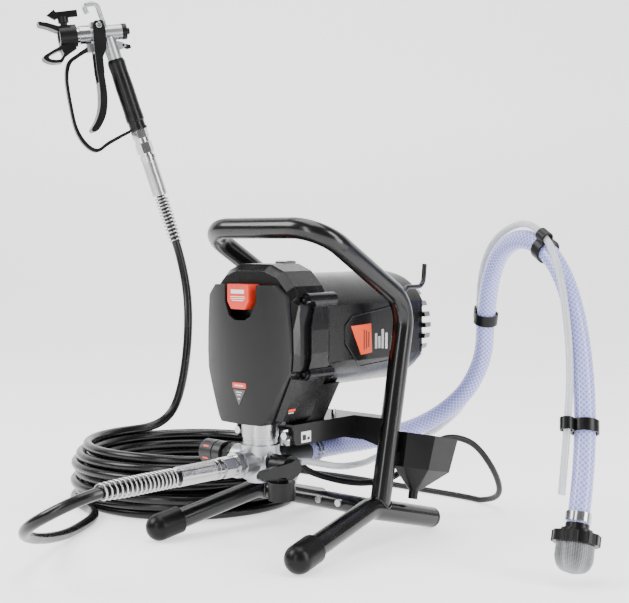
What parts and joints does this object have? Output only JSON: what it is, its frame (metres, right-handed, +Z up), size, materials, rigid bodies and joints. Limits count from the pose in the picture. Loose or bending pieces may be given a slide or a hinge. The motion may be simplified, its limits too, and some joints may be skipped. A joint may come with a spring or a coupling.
{
  "type": "airless paint sprayer",
  "caption": "Airless paint sprayer on a bent-tube stand with enclosed drive, piston pump, coiled high-pressure hose with spray gun, and suction hose with inlet strainer.",
  "frame": {"origin": "on the floor, under the middle of the box round the machine and its spray gun, hoses and cords left out", "axes": "+Z up; -Y is the front, where the outlet and the removable cover are; +X is the side of the prime lever and drip cup, and the hose coil lies towards -X"},
  "size_m": [0.9242, 0.6843, 0.7249],
  "materials": {
    "black_tube": "gloss",
    "rubber": "matte",
    "black_plastic": "satin",
    "dark_abs": "satin",
    "cover_abs": "satin",
    "label_red": "gloss",
    "aluminium": "satin",
    "steel": "satin",
    "chrome": "gloss",
    "cast_case": "satin",
    "copper_core": "satin",
    "packing": "matte",
    "knob_grey": "satin",
    "hose_black": "satin",
    "hose_braid": "gloss",
    "clear_tube": "gloss",
    "mesh": "satin",
    "cord_rubber": "matte"
  },
  "bodies": {
    "base": {"handle_frame": "black_tube", "left_rail": "black_tube", "right_rail": "black_tube", "base_crossbar": "black_tube", "mount_bracket": "black_tube", "hose_hook": "black_tube", "foot_caps": "rubber", "drip_cup": "black_plastic", "fasteners": "chrome", "front_shell": "dark_abs", "motor_shell": "dark_abs", "vent_cap": "dark_abs", "gear_case": "cast_case", "motor_can": "steel", "motor_bearings": "steel", "pump_collar": "steel", "pump_body": "aluminium", "pump_packing": "packing", "pressure_valve": "black_plastic", "valve_body": "black_plastic", "return_nipple": "chrome", "suction_fitting": "knob_grey", "hose_clamps": "chrome", "outlet_nipple": "chrome", "hose_end_pump": "chrome", "spring_guard_pump": "chrome", "hose_tail": "hose_black", "hose_coil": "hose_black", "hose_riser": "hose_black", "spring_guard_gun": "chrome", "hose_end_gun": "chrome", "suction_hose": "hose_braid", "return_tube": "clear_tube", "tube_clips": "black_plastic", "strainer_head": "black_plastic", "strainer_mesh": "mesh", "cord_strain_relief": "cord_rubber", "power_cord": "cord_rubber", "power_cord_coil": "cord_rubber", "power_plug": "cord_rubber", "gun_inlet": "chrome"},
    "front_cover": {"front_cover": "cover_abs"},
    "cover_latch": {"cover_latch": "label_red"},
    "power_switch": {"power_switch": "knob_grey"},
    "armature": {"armature": "copper_core", "cooling_fan": "black_plastic"},
    "reduction_gear": {"reduction_gear": "steel"},
    "piston": {"piston": "steel"},
    "pressure_knob": {"pressure_knob": "knob_grey"},
    "prime_lever": {"prime_lever": "black_plastic"},
    "gun": {"gun_body": "aluminium", "gun_grip": "black_plastic", "trigger_guard": "black_plastic", "nose_nut": "steel", "gun_cap": "black_plastic"},
    "trigger": {"trigger": "black_plastic"},
    "trigger_lock": {"trigger_lock": "black_plastic"},
    "gun_needle": {"gun_needle": "steel"},
    "tip_guard": {"tip_guard": "black_plastic"},
    "spray_tip": {"spray_tip": "black_plastic"}
  },
  "joints": [
    {"name": "cover_slide", "type": "slide", "parent": "base", "child": "front_cover", "axis": [0, -1, 0], "range_m": [0, 0.06]},
    {"name": "latch_lift", "type": "hinge", "parent": "front_cover", "child": "cover_latch", "pos_m": [0.2, -0.1155, 0.311], "axis": [-1, 0, 0], "range_deg": [0, 25], "stiffness_Nm_per_rad": 0.05},
    {"name": "switch_rock", "type": "hinge", "parent": "base", "child": "power_switch", "pos_m": [0.2, -0.0475, 0.333], "axis": [1, 0, 0], "range_deg": [-8, 8]},
    {"name": "armature_spin", "type": "hinge", "parent": "base", "child": "armature", "pos_m": [0.2, -0.0005, 0.254], "axis": [0, 1, 0], "continuous": true},
    {"name": "gear_spin", "type": "hinge", "parent": "base", "child": "reduction_gear", "pos_m": [0.2, -0.0705, 0.212], "axis": [0, 1, 0], "continuous": true},
    {"name": "piston_stroke", "type": "slide", "parent": "base", "child": "piston", "axis": [0, 0, 1], "range_m": [-0.012, 0.012]},
    {"name": "pressure_turn", "type": "hinge", "parent": "base", "child": "pressure_knob", "pos_m": [0.12, -0.0925, 0.106], "axis": [1, 0, 0], "range_deg": [0, 270]},
    {"name": "prime_turn", "type": "hinge", "parent": "base", "child": "prime_lever", "pos_m": [0.245, -0.0925, 0.1015], "axis": [1, 0, 0], "range_deg": [0, 90]},
    {"name": "gun_swivel", "type": "hinge", "parent": "base", "child": "gun", "pos_m": [-0.26937, 0.08212, 0.63895], "axis": [0.1576, 0.2729, -0.949], "continuous": true},
    {"name": "trigger_pull", "type": "hinge", "parent": "gun", "child": "trigger", "pos_m": [-0.28265, 0.05912, 0.68773], "axis": [0.866, -0.5, 0], "range_deg": [0, 7], "stiffness_Nm_per_rad": 3},
    {"name": "needle_slide", "type": "slide", "parent": "gun", "child": "gun_needle", "axis": [-0.4951, -0.8576, -0.1392], "range_m": [-0.003, 0]},
    {"name": "lock_turn", "type": "hinge", "parent": "gun", "child": "trigger_lock", "pos_m": [-0.26359, 0.09214, 0.66077], "axis": [0.866, -0.5, 0], "range_deg": [-60, 0]},
    {"name": "guard_turn", "type": "hinge", "parent": "gun", "child": "tip_guard", "pos_m": [-0.30169, 0.02615, 0.67127], "axis": [-0.4951, -0.8576, -0.1392], "range_deg": [-90, 90]},
    {"name": "tip_turn", "type": "hinge", "parent": "tip_guard", "child": "spray_tip", "pos_m": [-0.30685, 0.01721, 0.67285], "axis": [-0.0696, -0.1205, 0.9903], "range_deg": [0, 180]}
  ],
  "couplings": [
    {"joint": "gear_spin", "follows": "armature_spin", "ratio": -0.225},
    {"joint": "needle_slide", "follows": "trigger_pull", "m_per_rad": -0.0245}
  ]
}
